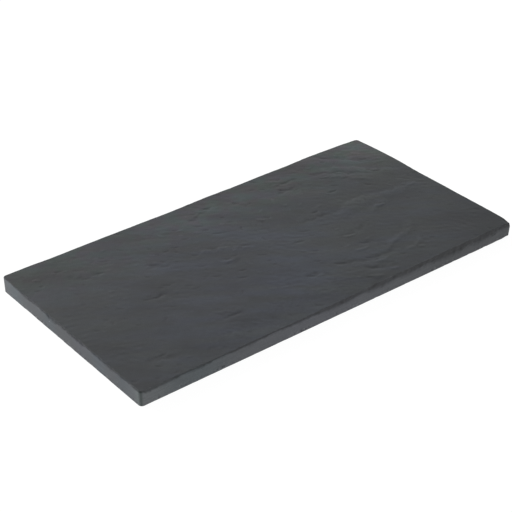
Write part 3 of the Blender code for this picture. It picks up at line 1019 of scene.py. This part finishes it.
def grained(tree, turn=0.0, stretch=(1.0, 1.0, 1.0)):
    """Object coordinates that stretch a pattern along a direction."""
    place = add(tree, "ShaderNodeTexCoord").outputs["Object"]
    settings = {"vector_type": "TEXTURE"}
    return add(
        tree, "ShaderNodeMapping", settings,
        Vector=place, Rotation=(0.0, 0.0, math.radians(turn)), Scale=stretch,
    ).outputs[0]


def placed(tree, axis):
    """How far along one of the stone's axes a point is."""
    place = add(tree, "ShaderNodeTexCoord").outputs["Object"]
    return add(tree, "ShaderNodeSeparateXYZ", None, Vector=place).outputs[axis]


def noise(tree, place, size, detail, roughness=0.5, distortion=0.0):
    """Noise with features of about this size, in metres."""
    return add(
        tree, "ShaderNodeTexNoise", None,
        Vector=place, Scale=1.0 / size, Detail=detail, Roughness=roughness, Distortion=distortion,
    ).outputs[0]


def spread(tree, value, low, high, start=0.3, end=0.7):
    """Maps a noise's usual range to another range, and clamps it."""
    return add(
        tree, "ShaderNodeMapRange", None,
        Value=value, From_Min=start, From_Max=end, To_Min=low, To_Max=high,
    ).outputs[0]


def swing(tree, value, amount, start=0.3, end=0.7):
    """A factor that goes from below one to as much above it."""
    return spread(tree, value, 1.0 - amount, 1.0 + amount, start, end)


def times(tree, first, second):
    """The product of two values."""
    made = add(tree, "ShaderNodeMath", {"operation": "MULTIPLY"})
    feed(tree, made.inputs[0], first)
    feed(tree, made.inputs[1], second)
    return made.outputs[0]


def mixed(tree, share, first, second, way="MIX"):
    """A mix of two colours."""
    made = add(tree, "ShaderNodeMix", {"data_type": "RGBA", "blend_type": way})
    feed(tree, made.inputs[0], share)
    feed(tree, made.inputs[6], first)
    feed(tree, made.inputs[7], second)
    return made.outputs[2]


def shaded(tree, colour, factor):
    """A colour made lighter or darker by a factor."""
    return mixed(tree, 1.0, colour, factor, "MULTIPLY")


def stored(tree, name, output):
    """A value stored on the stone's points."""
    return add(tree, "ShaderNodeAttribute", {"attribute_name": name}).outputs[output]


def bumped(tree, height, distance, normal=None):
    """Bump with this height, in metres, on top of another."""
    made = add(tree, "ShaderNodeBump", None, Strength=1.0, Distance=distance, Height=height)
    if normal:
        tree.links.new(normal, made.inputs["Normal"])
    return made.outputs[0]


def tinted(colour, red, green, blue):
    """A colour with its channels shifted by factors."""
    return (colour[0] * red, colour[1] * green, colour[2] * blue, 1.0)


def toned(colour, factor=1.0):
    """A colour as it is, or lighter or darker by a factor."""
    return tinted(colour, factor, factor, factor)


def new_finish(name):
    """A material, its node tree and its shader."""
    material = bpy.data.materials.new(name)
    material.use_nodes = True
    return material, material.node_tree, material.node_tree.nodes["Principled BSDF"]


def split_finish(finish):
    """The split face: blue-grey, with a slanting grain, purple and green tints at the back, painted
    sheen and shade, and painted light on crests and painted shade in hollows.
    """
    material, tree, shader = new_finish("split_slate")
    even = grained(tree)
    slanting = grained(tree, GRAIN_TURN, (3.5, 1.0, 1.0))
    patches = spread(tree, noise(tree, even, 0.013, 3.0), 0.0, 1.0, 0.42, 0.58)
    clouds = noise(tree, slanting, 0.014, 4.0, 0.52, 0.3)
    grain = noise(tree, slanting, 0.0022, 5.0, 0.65)
    speckle = noise(tree, even, 0.0007, 3.0, 0.6)
    tints = [tinted(finish.split_colour, *tint) for tint in (PURPLE, GREEN)]
    toward_back = spread(tree, placed(tree, "Y"), 0.10, 1.0, TINTS_START, TINTS_FULL)
    colour = mixed(tree, toward_back, toned(finish.split_colour), mixed(tree, patches, *tints))
    shade = times(tree, swing(tree, clouds, 0.37), swing(tree, grain, 0.07))
    shade = times(tree, shade, swing(tree, speckle, 0.12))
    # painted light and shade of the relief: crests lighter, partly from wear, and hollows darker
    shade = times(tree, shade, swing(tree, stored(tree, "worn_and_shaded", "Fac"), 0.28, -2.0, 2.0))
    # stains and painted light: painted sheen lighter towards the back, painted shade darker at the
    # front right
    colour = shaded(tree, colour, stored(tree, "stain_and_painted_light", "Color"))
    blues = spread(tree, noise(tree, slanting, 0.011, 2.0), 0.0, 1.0, 0.40, 0.60)
    colour = shaded(tree, colour, mixed(tree, blues, (*WARM, 1.0), (*COOL, 1.0)))
    feed(tree, shader.inputs["Base Color"], shaded(tree, colour, shade))
    rough = finish.split_roughness
    feed(tree, shader.inputs["Roughness"], spread(tree, clouds, rough - 0.07, rough + 0.07))
    normal = bumped(tree, grain, 0.00006)
    normal = bumped(tree, speckle, 0.00003, normal)
    tree.links.new(normal, shader.inputs["Normal"])
    return material


def chipped_finish(finish):
    """The broken edge: dark, rough, and stepped along the bedding, with pale bruises."""
    material, tree, shader = new_finish("chipped_slate")
    bedding = grained(tree, stretch=(1.0, 1.0, 0.16))
    even = grained(tree)
    steps = noise(tree, bedding, 0.0024, 4.0, 0.6)
    crumbs = noise(tree, even, 0.0009, 3.0, 0.6)
    dark, plain = toned(finish.chipped_colour), toned(finish.sawn_colour)
    pale = toned(finish.sawn_colour, 1.3)
    fresh = times(tree, stored(tree, "fresh", "Fac"), swing(tree, steps, 0.2))
    colour = mixed(tree, spread(tree, fresh, 0.0, 1.0, 0.1, 0.9), plain, dark)
    colour = shaded(tree, colour, stored(tree, "stain_and_painted_light", "Color"))
    colour = shaded(tree, colour, swing(tree, steps, 0.2))
    pits = spread(tree, noise(tree, even, 0.0040, 1.0), 1.0, 0.70, 0.58, 0.72)
    colour = shaded(tree, colour, pits)
    bruises = spread(tree, crumbs, 0.0, 0.8, 0.68, 0.74)
    feed(tree, shader.inputs["Base Color"], mixed(tree, bruises, colour, pale))
    feed(tree, shader.inputs["Roughness"], spread(tree, steps, 0.5, 0.75))
    normal = bumped(tree, steps, 0.00025)
    normal = bumped(tree, crumbs, 0.0001, normal)
    tree.links.new(normal, shader.inputs["Normal"])
    return material


def foot_specks(tree, even, colour, finish):
    """Small dark dents and pale chips along the foot of the sides, in patches."""
    low = spread(tree, placed(tree, "Z"), 1.0, 0.0, SPECKS_FULL, SPECKS_END)
    patches = spread(tree, noise(tree, even, 0.011, 1.0), 0.15, 1.0, 0.40, 0.62)
    foot = times(tree, low, patches)
    specks = noise(tree, even, 0.0016, 2.0, 0.6)
    dents = times(tree, foot, spread(tree, specks, 0.0, 1.0, 0.57, 0.64))
    chips = times(tree, foot, spread(tree, specks, 1.0, 0.0, 0.35, 0.42))
    colour = mixed(tree, dents, colour, toned(finish.chipped_colour, 0.7))
    return mixed(tree, chips, colour, tinted(finish.sawn_colour, 1.7, 1.7, 1.62))


def sawn_finish(finish):
    """The sawn sides: paler and dull, with fine lines of bedding, blotches and pale flecks."""
    material, tree, shader = new_finish("sawn_slate")
    bedding = grained(tree, stretch=(12.0, 12.0, 0.25))
    even = grained(tree)
    lines = noise(tree, bedding, 0.0024, 3.0, 0.6)
    blotches = noise(tree, even, 0.009, 4.0, 0.6)
    grit = noise(tree, even, 0.0006, 3.0, 0.6)
    shade = times(tree, swing(tree, lines, 0.12), swing(tree, blotches, 0.10))
    shade = times(tree, shade, swing(tree, grit, 0.14))
    patched = shaded(tree, toned(finish.sawn_colour), stored(tree, "stain_and_painted_light", "Color"))
    colour = foot_specks(tree, even, shaded(tree, patched, shade), finish)
    pale = toned(finish.sawn_colour, 3.0)
    flecks = spread(tree, noise(tree, even, 0.0018, 1.0), 0.0, 1.0, 0.76, 0.80)
    feed(tree, shader.inputs["Base Color"], mixed(tree, flecks, colour, pale))
    rough = finish.sawn_roughness
    feed(tree, shader.inputs["Roughness"], spread(tree, blotches, rough - 0.06, rough + 0.06))
    normal = bumped(tree, lines, 0.00004)
    normal = bumped(tree, grit, 0.00003, normal)
    tree.links.new(normal, shader.inputs["Normal"])
    return material


class SLATE_OT_slab(bpy.types.Operator):
    """Build the stone in place of its plain solid"""

    bl_idname = "slate.slab"
    bl_label = "Slate Slab"
    bl_options = {"REGISTER", "UNDO"}

    def execute(self, context):
        shape, finish = context.scene.slate_shape, context.scene.slate_finish
        bm = bmesh.new()
        split_face(bm, shape)
        broken_edge(bm, shape)
        sawn_sides(bm, shape)
        bmesh.ops.recalc_face_normals(bm, faces=bm.faces)
        mesh = bpy.data.meshes.new("split_slate_slab")
        bm.to_mesh(mesh)
        bm.free()
        mesh.shade_smooth()
        mesh.set_sharp_from_angle(angle=CREASE)
        for material in (split_finish(finish), chipped_finish(finish), sawn_finish(finish)):
            mesh.materials.append(material)
        slab = bpy.data.objects.new("split_slate_slab", mesh)
        context.scene.collection.objects.link(slab)
        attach(slab, "root")
        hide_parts("slate_slab")
        return {"FINISHED"}


class SLATE_OT_stage(bpy.types.Operator):
    """Add the pale floor, the soft lights and the camera"""

    bl_idname = "slate.stage"
    bl_label = "Slate Stage"
    bl_options = {"REGISTER", "UNDO"}

    def execute(self, context):
        stage = context.scene.slate_stage
        self.add_floor(context, stage)
        self.add_surroundings(context, stage)
        self.add_key(context, stage)
        self.add_camera(context, stage)
        context.scene.view_settings.view_transform = "Standard"
        return {"FINISHED"}

    def add_floor(self, context, stage):
        """The plain floor, which glows as if it were lit from below."""
        bm = bmesh.new()
        bmesh.ops.create_grid(bm, x_segments=1, y_segments=1, size=stage.floor_size / 2)
        mesh = bpy.data.meshes.new("studio_floor")
        bm.to_mesh(mesh)
        bm.free()
        material, tree, shader = new_finish("pale_floor")
        even = grained(tree)
        mottle = spread(tree, noise(tree, even, 0.5, 2.0), 0.99, 1.0)
        feed(tree, shader.inputs["Base Color"], shaded(tree, toned(stage.floor_colour), mottle))
        shader.inputs["Roughness"].default_value = 0.9
        shader.inputs["Specular IOR Level"].default_value = 0.1
        shader.inputs["Emission Color"].default_value = (1.0, 1.0, 1.0, 1.0)
        shader.inputs["Emission Strength"].default_value = stage.floor_glow
        mesh.materials.append(material)
        floor = bpy.data.objects.new("studio_floor", mesh)
        context.scene.collection.objects.link(floor)

    def add_surroundings(self, context, stage):
        """Soft light from all round, brightest on one side."""
        world = bpy.data.worlds.new("studio")
        world.use_nodes = True
        tree = world.node_tree
        way = add(tree, "ShaderNodeTexCoord").outputs["Generated"]
        facing = add(tree, "ShaderNodeVectorMath", {"operation": "DOT_PRODUCT"})
        feed(tree, facing.inputs[0], way)
        feed(tree, facing.inputs[1], Vector(stage.sky_way).normalized())
        level = spread(tree, facing.outputs["Value"], stage.sky_front, stage.sky_back, 0.4, 1.0)
        background = tree.nodes["Background"]
        feed(tree, background.inputs["Color"], toned(stage.sky_colour))
        feed(tree, background.inputs["Strength"], level)
        context.scene.world = world

    def add_key(self, context, stage):
        """The large soft light."""
        light = bpy.data.lights.new("key", "AREA")
        light.shape = "RECTANGLE"
        light.size = stage.key_length
        light.size_y = stage.key_width
        light.energy = stage.key_power
        key = bpy.data.objects.new("key", light)
        key.location = stage.key_place
        key.rotation_euler = (-key.location).to_track_quat("-Z", "Y").to_euler()
        context.scene.collection.objects.link(key)

    def add_camera(self, context, stage):
        """The camera, by its lens, its place and how it is turned."""
        lens = bpy.data.cameras.new("camera")
        lens.lens = stage.lens
        lens.clip_end = 100.0
        camera = bpy.data.objects.new("camera", lens)
        turn = (
            Matrix.Rotation(-stage.camera_round, 3, "Z")
            @ Matrix.Rotation(math.pi / 2 - stage.camera_down, 3, "X")
            @ Matrix.Rotation(stage.camera_roll, 3, "Z")
        )
        camera.location = stage.camera_place
        camera.rotation_euler = turn.to_euler()
        context.scene.collection.objects.link(camera)
        context.scene.camera = camera


class SLATE_PT_panel(bpy.types.Panel):
    """Lists the stone and its stage"""

    bl_idname = "SLATE_PT_panel"
    bl_label = "Slate Slab"
    bl_space_type = "VIEW_3D"
    bl_region_type = "UI"
    bl_category = "Slate"

    def draw(self, context):
        scene = context.scene
        for title, group, operator in (
            ("Shape", scene.slate_shape, None),
            ("Finish", scene.slate_finish, SLATE_OT_slab.bl_idname),
            ("Stage", scene.slate_stage, SLATE_OT_stage.bl_idname),
        ):
            box = self.layout.box()
            box.label(text=title)
            for name in group.bl_rna.properties.keys():
                if name not in ("rna_type", "name"):
                    box.prop(group, name)
            if operator:
                box.operator(operator)


CLASSES = (
    SlateShape,
    SlateFinish,
    SlateStage,
    SLATE_OT_slab,
    SLATE_OT_stage,
    SLATE_PT_panel,
)


def register():
    """Makes the panel, the operators and the settings known to Blender."""
    for cls in CLASSES:
        bpy.utils.register_class(cls)
    bpy.types.Scene.slate_shape = PointerProperty(type=SlateShape)
    bpy.types.Scene.slate_finish = PointerProperty(type=SlateFinish)
    bpy.types.Scene.slate_stage = PointerProperty(type=SlateStage)


def unregister():
    """Takes them away again."""
    del bpy.types.Scene.slate_stage
    del bpy.types.Scene.slate_finish
    del bpy.types.Scene.slate_shape
    for cls in reversed(CLASSES):
        bpy.utils.unregister_class(cls)


def main():
    """Builds the stone and its stage."""
    register()
    bpy.ops.slate.slab()
    bpy.ops.slate.stage()


if __name__ == "__main__":
    main()
